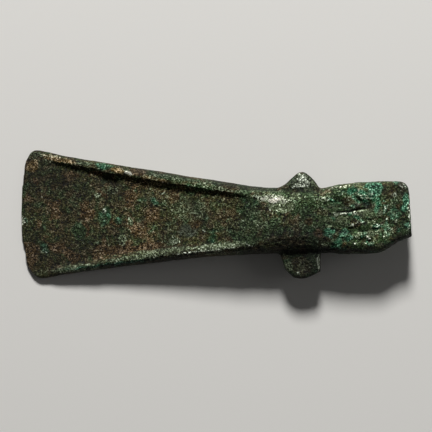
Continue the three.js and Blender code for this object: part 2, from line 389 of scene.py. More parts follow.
MARKS = tuple(Mark(*row) for row in (
    # blade
    (5.2, 22, 6.5, 4.5, {TAN: 1, PALE: 0.12}, 70, 0.15),  # coppery far corner
    (6.5, 27, 7, 2.2, {GREEN: 0.6, WEAR: 0.6}, -8),
    (17, 24.6, 16, 2, {TAN: 0.75}, -9),  # bare hammered metal on the far flange
    (13, 26.2, 10, 1.6, {TAN: 0.6, WEAR: 1, PALE: 0.3}, -9),
    (27.5, 23.2, 9, 2.6, {GREEN: 0.6, WEAR: 0.5}, -9),
    (36.2, 21.8, 7.6, 3, {GREEN: 0.9, TEAL: 0.62, PALE: 0.1}, -9, 0.1),
    (42, 19.9, 6.5, 2.8, {TAN: 0.7}, -9, 0.2),
    (50.8, 19.6, 7, 3.8, {RUST: 1, TAN: 0.4, DIRT_AND_SHADE: 0.6}, -9, -0.1),
    (46.9, 18.9, 3.9, 1.5, {POLISH_AND_GLINT: 1, PALE: 1}, -9, 0.35),  # polished bump at the end of the fold, painted near white as a highlight
    # painted shadow under the overhanging fold of the far flange, over a sunk floor
    (38.5, 15.4, 11, 3.6, {DIRT_AND_SHADE: 0.4}, -9, -0.5),
    (46.2, 14.6, 4.6, 2.4, {RUST: 0.5}, -9, 0.45),
    (2.4, -1.8, 2.4, 4.6, {PALE: 0.15, TEAL: 0.35}),
    (0.6, -1.6, 2.3, 4.8, {PALE: 1, GREY: 0.8, POLISH_AND_GLINT: 0.45}),  # chip in the cutting edge
    (1.3, 7, 1.8, 18, {GREEN: 0.6, WEAR: 0.2}),
    (8, -21, 14, 9, {RUST: 0.35}, 40),
    (10.3, -13, 7.5, 4, {TEAL: 0.3, GREEN: 0.9, DIRT_AND_SHADE: 0.25}, -58, -0.12),
    (10.8, -14.6, 3, 2.4, {PALE: 0.35, TEAL: 0.25}, -30, 0.1),
    (25, -6.3, 7, 7.5, {GREEN: 1, TEAL: 0.15}),
    (29, 1.2, 6.5, 6, {RUST: 0.8}, 20),
    (22, 18, 9, 5, {RUST: 0.6}),
    (36.1, 0, 9, 6, {TEAL: 0.32, GREEN: 1, DIRT_AND_SHADE: 0.15}, 78, -0.1),
    (36.4, 2.6, 2.6, 2, {TEAL: 0.5, PALE: 0.5}, 30, 0.2),
    (37, -2, 3.2, 2.6, {TEAL: 0.35}, 60, 0.1),
    (42.6, -1.7, 3.4, 3.4, {TEAL: 0.4, GREEN: 0.9, DIRT_AND_SHADE: 0.2}, 0, 0.15),
    (33.4, 9.2, 2.8, 2.2, {PALE: 0.2, WEAR: 0.9}, 10, 0.25),
    (38.5, 11.5, 9, 5, {WEAR: 0.5}),
    (43.8, -9.8, 5, 6.2, {PALE: 0.15, WEAR: 0.6}, 15, 0.35),
    (47.2, -1.9, 2.2, 3.8, {PALE: 0.12, WEAR: 1}, 8, 0.25),
    (52.6, -2.2, 3.2, 5.2, {DIRT_AND_SHADE: 0.5}, 10, -0.35),
    (45, -14.2, 15, 3.2, {RUST: 1, DIRT_AND_SHADE: 0.15}, 7),
    (57, -12.4, 12, 3.4, {RUST: 1, DIRT_AND_SHADE: 0.15}, 7),
    (56.4, 7.3, 9, 3.4, {TEAL: 0.4, GREY: 0.4, PALE: 0.1}, -12),
    (57, 1, 8, 8, {RUST: 0.6}),
    (52, -7, 7, 5, {RUST: 0.6}),
    (61.6, 10, 2, 1.2, {PALE: 0.35, WEAR: 0.6}, -10, 0.2),
    (66.5, -10.3, 6, 3.8, {PALE: 0.35, GREEN: 0.6, WEAR: 0.8}, 10, 0.15),
    (72.6, -5.6, 12, 7.5, {GREY: 0.62}, 15, -0.15),
    (79.8, -6, 2, 1.8, {PALE: 0.65}, 0, 0.25),
    (83, -9.5, 6, 4, {GREEN: 0.8, TEAL: 0.3}),
    (78, 12.5, 14, 4, {GREEN: 0.7}, -9),
    (62, 8, 26, 8, {WEAR: 0.3}, -9),
    (73, 3, 20, 12, {WEAR: 0.45, GREY: 0.3}),
    (93, 4.5, 9, 7, {RUST: 0.4, GREY: 0.35}),
    (102, -1.5, 15, 13, {WEAR: 0.38}),
    (66, 17, 26, 2.8, {GREEN: 0.9, WEAR: 0.4}, -9),
    (86, 12.2, 22, 0.9, {PALE: 0.15, WEAR: 0.7}, -9, 0.05),  # inner rim of the far flange
    (88, 14.9, 20, 2.4, {GREEN: 0.8, WEAR: 0.45}, -9),
    (26, -22, 26, 3.2, {WEAR: 0.9, TAN: 0.1}, 6),  # near flange
    (50, -17.6, 30, 2.4, {GREEN: 0.7, WEAR: 0.9, PALE: 0.2}, 6),
    (39, -20.4, 42, 1.4, {TEAL: 0.6}, 6),
    (64, -14.6, 34, 2.6, {WEAR: 0.8, RUST: 0.5}, 6),
    (86, -12.6, 24, 3.4, {PALE: 0.3, WEAR: 0.9, GREY: 0.5}, 4),
    (80, -14.6, 34, 0.8, {PALE: 0.55}, 5, 0.1),
    # neck and lugs
    (110.3, 7.1, 5, 2, {POLISH_AND_GLINT: 1, PALE: 0.7}, 3, 0.1),  # rubbed shoulder: rubbed metal painted near white as a highlight, with a painted sheen round it in the next three marks
    (104.7, 7.6, 2.8, 1.7, {POLISH_AND_GLINT: 0.5, PALE: 0.6}, 15, 0.1),
    (102.2, 8.4, 4, 1.6, {PALE: 0.45, WEAR: 0.9}, -8, 0.05),
    (110, 7.4, 15, 4.6, {PALE: 0.35, WEAR: 1, POLISH_AND_GLINT: 0.35}, -4),
    (113, 4.4, 12, 5.4, {WEAR: 0.95, PALE: 0.15}),
    (109, 4.2, 4.5, 2, {GREY: 0.6, DIRT_AND_SHADE: 0.15}),
    (107.6, 2.3, 2.2, 0.9, {PALE: 0.55}, -20, 0.2),
    (102.8, -4.4, 3.4, 2.2, {WEAR: 0.9, PALE: 0.25}, 0, 0.2),
    (105, 11.4, 20, 2.2, {GREEN: 0.8, WEAR: 0.5, GREY: 0.4}, -3),
    (99.5, 5.5, 7, 6, {GREEN: 0.8, TEAL: 0.25}),
    (118.5, 9, 6, 3.4, {WEAR: 0.7, GREEN: 0.6}),
    (123, 1.5, 7.5, 6, {GREEN: 0.9, DIRT_AND_SHADE: 0.25}),
    (121.6, -3.6, 2.6, 3.4, {WEAR: 0.8}, 0, 0.1),
    (116.5, -8, 2.6, 4, {RUST: 0.6, WEAR: 0.4}),
    (99, -12.2, 4.4, 1.2, {PALE: 0.45, GREEN: 0.5}, -20, 0.1),
    (121.5, 15, 10, 8, {WEAR: 0.6, GREEN: 0.9}),  # far lug
    (117.8, 15.8, 3.6, 3.4, {GREEN: 1, TEAL: 0.3, DIRT_AND_SHADE: 0.35}, 40),
    (122, 16, 4, 3.6, {PALE: 1}, -40, 0.4),
    (123.4, 14.1, 3.8, 3.2, {PALE: 1}, 0, 0.4),
    (120.2, 13.1, 4.8, 2, {PALE: 0.8}, 0, 0.3),
    (117.6, 12.8, 2.4, 1.4, {PALE: 0.35}, 15, 0.2),
    (121.4, 18, 3, 1.6, {PALE: 0.75, WEAR: 0.9}, -10, 0.1),
    (126.3, 13.8, 4.4, 3, {RUST: 0.35, WEAR: 0.6, GREY: 0.4}, -50, 0.1),
    (115.6, -21.5, 3.4, 5, {GREEN: 0.9, WEAR: 0.8}, -20),  # near lug
    (121.5, -21, 6.5, 8, {RUST: 0.4, WEAR: 0.45}),
    (120, -24.2, 2.4, 1.6, {PALE: 0.5, WEAR: 0.7}, 0, 0.25),
    (127.2, -22, 2.6, 4, {GREEN: 0.9, TEAL: 0.2}),
    (128.6, -19.6, 1.2, 8.4, {PALE: 0.7, GREY: 0.8}),
    # butt
    (139, 1.7, 9, 0.8, {PALE: 0.6, GREY: 0.6}, 3, 0.1),  # lip of the crack, painted pale as a highlight where it faces the light
    (138, 3.6, 9, 2, {GREY: 0.8}, 3, -0.25),
    (135.2, 4.8, 7, 3.4, {TEAL: 0.45, GREY: 0.9, WEAR: 0.5, PALE: 0.08}),  # the hollow's floor
    (141.5, 6.9, 6.5, 3.4, {GREY: 0.9, WEAR: 0.75, RUST: 0.7, PALE: 0.22}, -8, 0.4),  # a lump in it
    (144.6, 5.4, 4.5, 2, {GREY: 0.8}, -20, 0.3),
    (142.5, 4, 7, 1.2, {GREEN: 0.6, DIRT_AND_SHADE: 0.3}, 5),
    (149.4, 5.2, 6, 2.6, {DIRT_AND_SHADE: 0.85}, -3, -0.4),  # its ragged end
    (149, 4.1, 1.4, 0.9, {PALE: 0.7}, -20, 0.5),
    (132.5, 10, 6.5, 3.2, {RUST: 0.6, WEAR: 0.5}, 3),  # far rim of the hollow
    (131, 7.6, 9, 1.4, {PALE: 0.3, WEAR: 0.5}, 0, 0.1),
    (137.6, 13, 11.4, 1.4, {PALE: 0.42, TAN: 0.4, WEAR: 0.8}, 8, 0.05),
    (138.5, 10.4, 4.4, 2.4, {TEAL: 0.45, WEAR: 0.7, PALE: 0.15}, 0, 0.1),
    (143.3, 12.3, 2, 3, {TEAL: 0.5}, 0, 0.1),
    (147, 12.4, 4.8, 3.6, {WEAR: 1, TAN: 0.3}, 0, 0.15),
    (145.8, 11.6, 1.8, 1.1, {PALE: 0.8}, 20, 0.25),
    (147.6, 8.8, 5.5, 2.8, {PALE: 0.35, GREEN: 0.6, WEAR: 0.7}, -25, 0.25),
    (152.8, 12, 7, 7, {TEAL: 0.9}, 0, 0.1),  # bright crust beside it
    (151, 9.2, 3.2, 2.6, {TEAL: 1, PALE: 0.35}, 0, 0.3),
    (153.4, 6, 5, 4.6, {TEAL: 0.6, GREEN: 0.7, WEAR: 0.6}, 0, 0.15),
    (160, 9, 7, 11, {RUST: 0.45, WEAR: 0.2}),  # brown end
    (160.8, 9.8, 2, 1.8, {PALE: 0.6, WEAR: 1}, 0, 0.3),
    (159.8, 6.5, 1.4, 4, {WEAR: 0.9}, 0, 0.2),
    (162.6, 4.2, 2.8, 3.6, {RUST: 0.8, DIRT_AND_SHADE: 0.3}, 0, -0.1),
    (164.6, 13.6, 4.2, 2.6, {PALE: 0.45, GREEN: 0.5}, -20, 0.1),
    (165.5, 5.8, 3, 9, {TEAL: 0.9}, -4, 0.1),
    (156.8, 2.8, 1.5, 5, {TEAL: 0.7, PALE: 0.5}, 0, 0.25),
    (157.9, -1.8, 1.3, 3.4, {TEAL: 0.6, PALE: 0.4}, 10, 0.25),
    (158, 4.5, 2.4, 1.1, {TEAL: 0.5, PALE: 0.4}, 0, 0.2),
    (151, 1.4, 13, 4.2, {GREY: 0.8, TEAL: 0.15, WEAR: 0.5}, 4, 0.4),  # central rib
    (136.5, -1.2, 13, 3.4, {GREY: 0.85, WEAR: 0.7, PALE: 0.1}, 3, 0.2),
    (139.5, -0.9, 5, 2, {GREEN: 0.5}),
    (139.5, -3.2, 6, 1.3, {WEAR: 0.6, RUST: 0.3}, 2, 0.1),
    (143.6, 1.3, 3, 1.8, {PALE: 0.5, WEAR: 0.6}, 10, 0.2),
    (136.5, 0.6, 2, 1.1, {PALE: 0.65}, 0, 0.25),
    (129, -4.2, 6, 1.1, {WEAR: 0.6, PALE: 0.25}, 3, 0.15),
    (146.5, -2, 3.6, 2, {TEAL: 0.5, PALE: 0.35}, 0, 0.2),  # strands below the rib
    (143, -3.8, 2.2, 1.2, {PALE: 0.5, WEAR: 0.6}, 25, 0.25),
    (153.5, -3.7, 5.2, 1.4, {TEAL: 0.55, PALE: 0.4}, 3, 0.25),
    (148.5, -4.3, 6, 1.2, {GREEN: 1}, 2),
    (155.4, -5.6, 2.2, 3, {TEAL: 0.3, GREY: 0.5}, 0, 0.1),
    (149.5, -7.3, 11, 1.7, {WEAR: 0.8, TEAL: 0.3, GREY: 0.4}, 3, 0.3),  # near ridge
    (145.6, -8.4, 3.2, 2, {WEAR: 0.8, GREEN: 0.6}, 0, 0.15),
    # painted highlight on the near ridge
    (150, -8.9, 2.6, 1.1, {POLISH_AND_GLINT: 0.5, PALE: 1}, -20, 0.4),
    (142, -8.6, 2.8, 1.8, {TEAL: 0.65}, 0, 0.1),
    (151.3, -11.3, 4.4, 2, {GREEN: 1, TEAL: 0.45, PALE: 0.25}, 20, 0.2),
    (144.2, -11.4, 1.7, 1, {PALE: 0.6}, 10, 0.3),
    (156, -8.8, 1.1, 3.4, {PALE: 0.45, WEAR: 0.6}, 15, 0.25),
    (157, -11.5, 6, 3, {GREY: 0.6}),
    (132.9, -6.3, 2.8, 3.6, {TEAL: 0.85}, 20, 0.2),
    (133.8, -8.6, 3.6, 1.5, {TEAL: 0.8, PALE: 0.25}, -35, 0.2),
    (135.6, -10.4, 3.6, 2.2, {GREEN: 1, TEAL: 0.5, WEAR: 0.5}, -20, 0.1),
    (128.5, -6.8, 5, 4.4, {RUST: 0.9, DIRT_AND_SHADE: 0.45}, 0, -0.1),
    (139, -8.9, 5, 1.6, {RUST: 0.5, WEAR: 0.4}, 0, 0.1),
    (132, -12, 6, 1.8, {WEAR: 0.8, TAN: 0.15}, -3, 0.15),
    (139.5, -11.2, 5, 2.6, {RUST: 0.7}),
    (158.5, -5.8, 5, 5.6, {WEAR: 0.7, GREEN: 0.6, TEAL: 0.45}, 0, 0.1),  # near end
    (162.4, -5.6, 3, 2.6, {GREY: 0.6, TEAL: 0.35}, 0, 0.15),
    (161.6, -2, 1.8, 2.8, {WEAR: 0.9, PALE: 0.35}, 10, 0.25),
    (165, -3.5, 3, 8, {GREEN: 0.9}),
    (161, 1.4, 5.6, 7, {TEAL: 0.5, GREEN: 0.8, WEAR: 0.6}, 0, 0.1),
    (167.3, 0, 0.8, 17, {PALE: 0.6}),
    (166.4, -8.2, 2.8, 1.3, {PALE: 0.35, WEAR: 0.6}, 10, 0.1),
))

BUTT_GROOVES = (
    Groove(
        ((134.6, 2.1), (139, 2.2), (142, 2.6), (146, 3.4), (152, 4.2)),
        0.9, 1.1, 1, lip=0.25, lip_width=1.1, shine=0.35,
    ),
    Groove(((143.8, -5.7), (147, -6.2), (152.5, -6)), 0.9, 0.35, 0.45),
    Groove(((149, -4.9), (152.5, -5.1), (156, -4.9)), 1, 0.4, 0.5),
    Groove(((134, -5.4), (138, -6.4), (143.5, -6.9)), 1.7, 0.5, 0.6, shine=0),
    Groove(((144.6, -9.8), (148.5, -10.1), (152.4, -9.8)), 1, 0.35, 0.4),
    Groove(((144.4, 8.1), (146.4, 7), (148.6, 5.9)), 0.9, 0.7, 0.9),
    Groove(((146, -0.6), (150, -1.1), (154.8, -1.3)), 0.7, 0.3, 0.4),
    Groove(((130.5, -2.7), (134, -3.1), (137.5, -2.7)), 1.2, 0.3, 0.4, shine=0),
)

BITES = tuple(Bite(*row) for row in (
    (-1.7, -2, 2.1), (-1.2, 8.6, 1.4), (-1.5, 14, 1.7), (-0.5, -9.5, 1), (0.2, -17, 0.9),
    (-0.6, 20.5, 1.2), (5.4, -28.6, 2.1), (125.8, 19.3, 1.5), (113, 16, 1.4), (113.4, -26.6, 2.4),
    (163.8, -12.6, 1.7), (158.4, -15.9, 1.5), (169.2, 8, 1.6),
))


# ---------- weathering


# Where over s, in mm, these parts of the casting start and are whole.
BLADE = (74, 30)
NECK = (84, 100)
BUTT = (128, 136)
FIBRES_END = (162, 154)


class Area(Enum):
    """A part of the surface whose patina differs."""

    BLADE = "blade"
    NECK = "neck and butt"
    BUTT = "butt"
    BACK = "back"
    BACK_RIM = "flange crests of the back"


@dataclass(frozen=True)
class Patches:
    """Clouds of a cover that lie all over the surface.

    Attributes:
        cover: What they are made of.
        seed: Seed of their noise.
        size: Their size, in mm.
        low: Value of the noise at which a cloud starts.
        high: Value at which it is full.
        strength: How strong they are in general, from 0 to 1.
        added: How much is added to that on some areas.
    """

    cover: Cover
    seed: int
    size: float
    low: float
    high: float
    strength: float
    added: dict[Area, float] = field(default_factory=dict)

    def over(self, surface: Surface, areas: dict[Area, np.ndarray]) -> np.ndarray:
        """How strong they are at each point, given how far it belongs to each area."""
        strength = self.strength + sum(more * areas[area] for area, more in self.added.items())
        return smooth_step(Grain.even(self.seed, self.size, 3).over(surface), self.low, self.high) * strength


PATCHES = (
    Patches(GREEN, 21, 8, -0.15, 0.2, 0.38, {Area.BLADE: -0.16, Area.NECK: 0.37, Area.BUTT: 0.25}),
    Patches(TEAL, 22, 4.5, 0.15, 0.4, 0.08, {Area.BUTT: 0.5, Area.BACK: 0.1}),
    Patches(RUST, 23, 9, 0.0, 0.3, 0.55, {Area.BLADE: 0.2, Area.NECK: -0.45}),
    Patches(TAN, 24, 6, 0.25, 0.5, 0.1, {Area.BACK_RIM: 0.3}),
    Patches(PALE, 25, 2.2, 0.2, 0.45, 0.1),
    Patches(POLISH_AND_GLINT, 26, 7, 0.3, 0.6, 0.0, {Area.BACK_RIM: 0.4}),
    Patches(GREY, 27, 9, 0.25, 0.5, 0.3),
    Patches(GREY, 29, 6, -0.1, 0.2, 0.0, {Area.BUTT: 0.5}),
    Patches(WEAR, 28, 6, 0.0, 0.4, 0.3, {Area.BLADE: -0.12}),
)


@dataclass(frozen=True)
class Relief:
    """Heights of the corroded surface, in mm, and how strong they are over s.

    Attributes:
        waves, ripples: Broad waves, and smaller ones on them.
        craters: Depth of the few wide hollows.
        crusts: Crusts, mostly on the butt.
        fibres: Fibres along the butt.
        grains: Small grains all over.
        pits, pinholes: Depth of the pits, and of smaller ones.
        hammering, hammer_step: Hammer marks on the far flange, and from one to the next.
        sunk: How far the whole surface is sunk, so that its lumps stay in the solid's box.
        strength: Share of all this over s, least at the thin cutting edge.
    """

    waves: float = 0.14
    ripples: float = 0.08
    craters: float = 0.25
    crusts: float = 0.14
    fibres: float = 0.15
    grains: float = 0.16
    pits: float = 0.26
    pinholes: float = 0.18
    hammering: float = 0.2
    hammer_step: float = 1.5
    sunk: float = 0.05
    strength: Profile = ((0, 0.12), (1.5, 0.28), (9, 0.5), (20, 0.75), (50, 1.0))


@dataclass(frozen=True)
class Shade:
    """How much lighter or darker the patina is by place, as a part of its usual brightness; some of it is
    painted light and shade.

    Attributes:
        along: Brightness over s, with 1 as usual.
        near: The same for the near half, on top of it; mostly painted shade on the half that faces away from
            the light, deepest along the neck.
        bevel: How much of the far bevel's painted shade there is over s.
        clouds, fibres: Added or taken by clouds and by the butt's fibres.
        shoulder: Added on the far half from the neck on, painted light where the far shoulder faces the light.
        far_bevel_shade, near_bevel_shade: Added on the outer bevels of the flanges: painted shade that tones
            down the lit far bevel and darkens the near bevel, which faces away from the light.
        far_rim: Added on the inner rim of the far flange.
        near_crest: Added on the near flange towards the neck.
        near_lug: Added on the near lug.
        far_corner: Added on the far side of the butt's end.
    """

    along: Profile = (
        (0, 0.75), (8, 0.85), (26, 0.92), (44, 1.2), (52, 1.4), (80, 1.5), (90, 1.18), (100, 1.2),
        (112, 1.38), (124, 1.0), (134, 0.97), (145, 1.62), (153, 1.85), (162, 1.05),
    )
    near: Profile = (
        (0, 0.95), (20, 0.95), (28, 0.75), (46, 0.86), (58, 1.06), (84, 0.98), (100, 0.75), (112, 0.6),
        (128, 0.6), (140, 0.95),
    )
    bevel: Profile = (
        (12, 0), (16, 0.35), (40, 0.4), (54, 1), (76, 1), (92, 1.25), (104, 1.3), (112, 0.9), (126, 1),
        (134, 0),
    )
    clouds: float = 0.55
    fibres: float = 0.8
    shoulder: float = 0.3
    far_bevel_shade: float = -0.5
    near_bevel_shade: float = -0.6
    far_rim: float = 0.5
    near_crest: float = -0.35
    near_lug: float = 0.6
    far_corner: float = -0.4


class Weathering:
    """Relief and covers over the points of the casting."""

    def __init__(self, surface: Surface, outline: Outline, upward: np.ndarray) -> None:
        """Works out what the fields below share.

        Args:
            surface: Points of the smooth casting.
            outline: Half-widths of the casting.
            upward: How far the surface faces up at each point, from -1 to 1.
        """
        self.surface = surface
        self.sizes = Relief()
        self.front = surface.front()
        self.inset = outline.inset(surface)
        self.butt = smooth_step(surface.s, *BUTT)
        fibrous = self.butt * smooth_step(surface.s, *FIBRES_END)
        self.fibres = Grain(7, (6.0, 0.9, 0.9), 2).over(surface) * fibrous
        along = 0.9 * Grain.even(11, 3.0, 2).over(surface)
        across = 0.7 * Grain.even(12, 3.0, 2).over(surface)
        shaken = surface.shifted(along, across)  # so that the edges of marks come out uneven
        steadier = surface.shifted(0.4 * along, 0.4 * across)
        facing = self.front * smooth_step(upward, 0.1, 0.5)  # marks don't run down the steep sides
        self.marks = [(mark, mark.over(shaken) * facing) for mark in MARKS]
        self.grooves = [(groove, *(groove.over(steadier) * self.front)) for groove in BUTT_GROOVES]

    def grains(self) -> np.ndarray:
        """Works out the small pits and grains, which are fainter on the sides and on rubbed metal.

        Returns:
            Their height, in mm.
        """
        surface = self.surface
        grains = self.sizes.grains * Grain.even(3, 1.2, 2).over(surface)
        pits = self.sizes.pits * Grain.even(4, 1.5).bowls(surface, 0.5)
        pinholes = self.sizes.pinholes * Grain.even(5, 0.95).bowls(surface, 0.5)
        broad = smooth_step(self.inset, -0.2, 1.4) * smooth_step(np.abs(surface.z), 0.2, 1.0)
        flange = (surface.y > 0) * smooth_step(self.inset, 4.8, 3.8) * band(surface.s, 48, 56, 104, 116)
        smooth = (1 - 0.75 * self.marked(GREY)) * (1 - 0.5 * flange)
        return (grains - (pits + pinholes)) * smooth * (0.35 + 0.65 * broad)

    def relief(self, grains: np.ndarray) -> np.ndarray:
        """Works out how far each point moves along its normal.

        Args:
            grains: Height of the small pits and grains, in mm.

        Returns:
            The whole movement, in mm.
        """
        surface, sizes = self.surface, self.sizes
        waves = sizes.waves * Grain.even(1, 9.0, 2).over(surface)
        ripples = sizes.ripples * Grain.even(2, 3.6).over(surface)
        craters = sizes.craters * Grain.even(6, 4.2).bowls(surface, 0.2)
        crusty = smooth_step(Grain.even(8, 5.0, 3).over(surface), 0.1, 0.26)
        crusts = sizes.crusts * crusty * (0.3 + 0.7 * self.butt)
        fibres = sizes.fibres * self.fibres * (1 - 0.6 * self.marked(GREY))
        heights = waves + ripples + crusts - craters + fibres + grains + self._hammered()
        for mark, share in self.marks:
            heights = heights + mark.height * share
        for groove, cut, lip in self.grooves:
            heights = heights + groove.lip * lip - groove.depth * cut
        return (heights - sizes.sunk) * at(sizes.strength, surface.s)

    def _hammered(self) -> np.ndarray:
        """Works out the slanting hammer marks along the crest of the folded flange.

        Returns:
            Their height, in mm.
        """
        surface = self.surface
        crest = band(self.inset, 1.8, 2.4, 3.8, 4.6) * self.front
        run = band(surface.s, 8, 11, 24, 32) * (surface.y > 0)
        slanting = surface.s + 0.9 * surface.y
        return self.sizes.hammering * np.sin(slanting * (math.tau / self.sizes.hammer_step)) * crest * run

    def marked(self, cover: Cover) -> np.ndarray:
        """Works out how strongly the marks and the grooves wear a cover.

        Args:
            cover: The cover.

        Returns:
            Values from 0 to 1.
        """
        worn = np.zeros_like(self.surface.s)
        for mark, share in self.marks:
            worn = np.maximum(worn, mark.wears.get(cover, 0.0) * share)
        for groove, cut, lip in self.grooves:
            # the lip is painted paler and lighter, a painted highlight where it faces the light
            own = {DIRT_AND_SHADE: groove.dirt_and_shade * cut, PALE: groove.shine * lip, WEAR: 0.7 * lip}
            worn = np.maximum(worn, own.get(cover, 0.0))
        return worn

    def _lit(self) -> np.ndarray:
        """Works out how much lighter or darker the patina is than usual: uneven tone, with painted shade on the
        flanges' outer bevels and on the near half, and painted light on the far shoulder.

        Returns:
            Values from 0 to 1, with 0.5 as usual.
        """
        shade, inset = Shade(), self.inset
        s, y = self.surface.s, self.surface.y
        far, near = y > 0, y < 0
        # painted shade on the outer bevels: the far one where it faces the light, the near one where it faces
        # away
        far_bevel_shade = at(shade.bevel, s) * far * smooth_step(inset, 3.0, 1.4)
        near_bevel_shade = near * smooth_step(s, 16, 36) * smooth_step(inset, 2.8, 1.6)
        near_bevel_shade = near_bevel_shade * (1 - 0.7 * band(s, 66, 78, 92, 98))
        sides = (1 + shade.far_bevel_shade * far_bevel_shade) * (1 + shade.near_bevel_shade * near_bevel_shade)
        # painted shade on the near half, which faces away from the light
        spots = 1 + (at(shade.near, s) - 1) * smooth_step(y, 2, -9)
        for added, share in (
            # painted light on the far half of the neck and butt
            (shade.shoulder, smooth_step(y, 3, 7) * smooth_step(s, 92, 112)),
            (shade.far_rim, far * band(s, 50, 58, 72, 84) * band(inset, 2.2, 3.0, 3.6, 4.4)),
            (shade.near_crest, near * band(s, 48, 60, 80, 90) * smooth_step(inset, 7.0, 6.0)),
            (shade.near_lug, near * smooth_step(inset, 0.0, -1.5)),
            (shade.far_corner, smooth_step(s, 143, 150) * smooth_step(y, 7, 10)),
        ):
            spots = spots * (1 + added * share)
        # the spots, with their painted light and shade, fade out towards the back
        on_front = 1 + (spots - 1) * smooth_step(self.surface.z, -5.0, 0.5)
        cloudy = 1 + shade.clouds * Grain.even(31, 13.0, 2).over(self.surface)
        fibrous = 1 + shade.fibres * self.fibres
        return np.clip(0.5 * at(shade.along, s) * sides * on_front * cloudy * fibrous, 0, 1)

    def covers(self, grains: np.ndarray) -> dict[Cover, np.ndarray]:
        """Works out what the surface wears.

        Args:
            grains: Height of the small pits and grains, in mm.

        Returns:
            Values from 0 to 1 for each cover, one for each point.
        """
        s = self.surface.s
        neck, back = smooth_step(s, *NECK), 1 - self.front
        rim = band(self.inset, 0.4, 1.6, 3.4, 4.6) * (1 - neck)
        areas = {
            Area.BLADE: smooth_step(s, *BLADE),
            Area.NECK: neck,
            Area.BUTT: self.butt,
            Area.BACK: back,
            Area.BACK_RIM: rim * back,
        }
        worn = {cover: np.zeros_like(s) for cover in Cover}
        for patches in PATCHES:
            worn[patches.cover] = np.maximum(worn[patches.cover], patches.over(self.surface, areas))
        worn[GREEN] = np.maximum(worn[GREEN], 0.45 * self.butt)
        worn[WEAR] = 0.3 * rim + worn[WEAR] + 0.08 * self.butt
        worn[DIRT_AND_SHADE] = 0.8 * smooth_step(-grains, 0.05, 0.4)
        worn = {cover: np.maximum(values, self.marked(cover)) for cover, values in worn.items()}
        without_rust = 1 - 0.7 * self.marked(RUST) ** 2
        without_film = 1 - 0.6 * self.marked(GREY) ** 2
        worn[GREEN] = worn[GREEN] * without_rust * without_film
        worn[WEAR] = worn[WEAR] * without_rust
        worn[TEAL] = worn[TEAL] * without_film
        worn[Cover.HEIGHT] = np.clip(0.5 + grains / 0.5, 0, 1)
        worn[Cover.LIGHT] = self._lit()
        return worn


# ---------- casting


